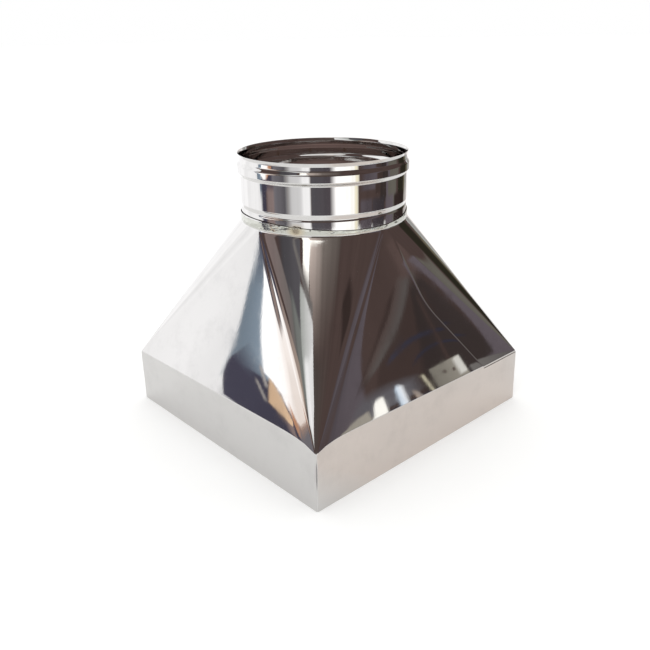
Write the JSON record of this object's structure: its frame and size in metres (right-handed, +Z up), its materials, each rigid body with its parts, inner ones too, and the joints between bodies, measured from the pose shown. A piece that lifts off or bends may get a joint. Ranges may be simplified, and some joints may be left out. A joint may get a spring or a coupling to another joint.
{
  "type": "flue hopper",
  "caption": "Square-to-round hopper of polished stainless sheet that leads a square opening up into a beaded round socket for a flue pipe.",
  "frame": {"origin": "middle of the square base, level with the skirt's bottom edge", "axes": "+Z up through the round collar, X and Y square to the skirt's sides"},
  "size_m": [0.35, 0.35, 0.3312],
  "materials": {
    "polished_sheet": "mirror-polished stainless sheet",
    "weld_metal": "as welded, lightly heat tinted"
  },
  "bodies": {
    "root": {"front_shell": "polished_sheet", "rear_shell": "polished_sheet", "collar": "polished_sheet", "tack_welds": "weld_metal"}
  },
  "joints": []
}
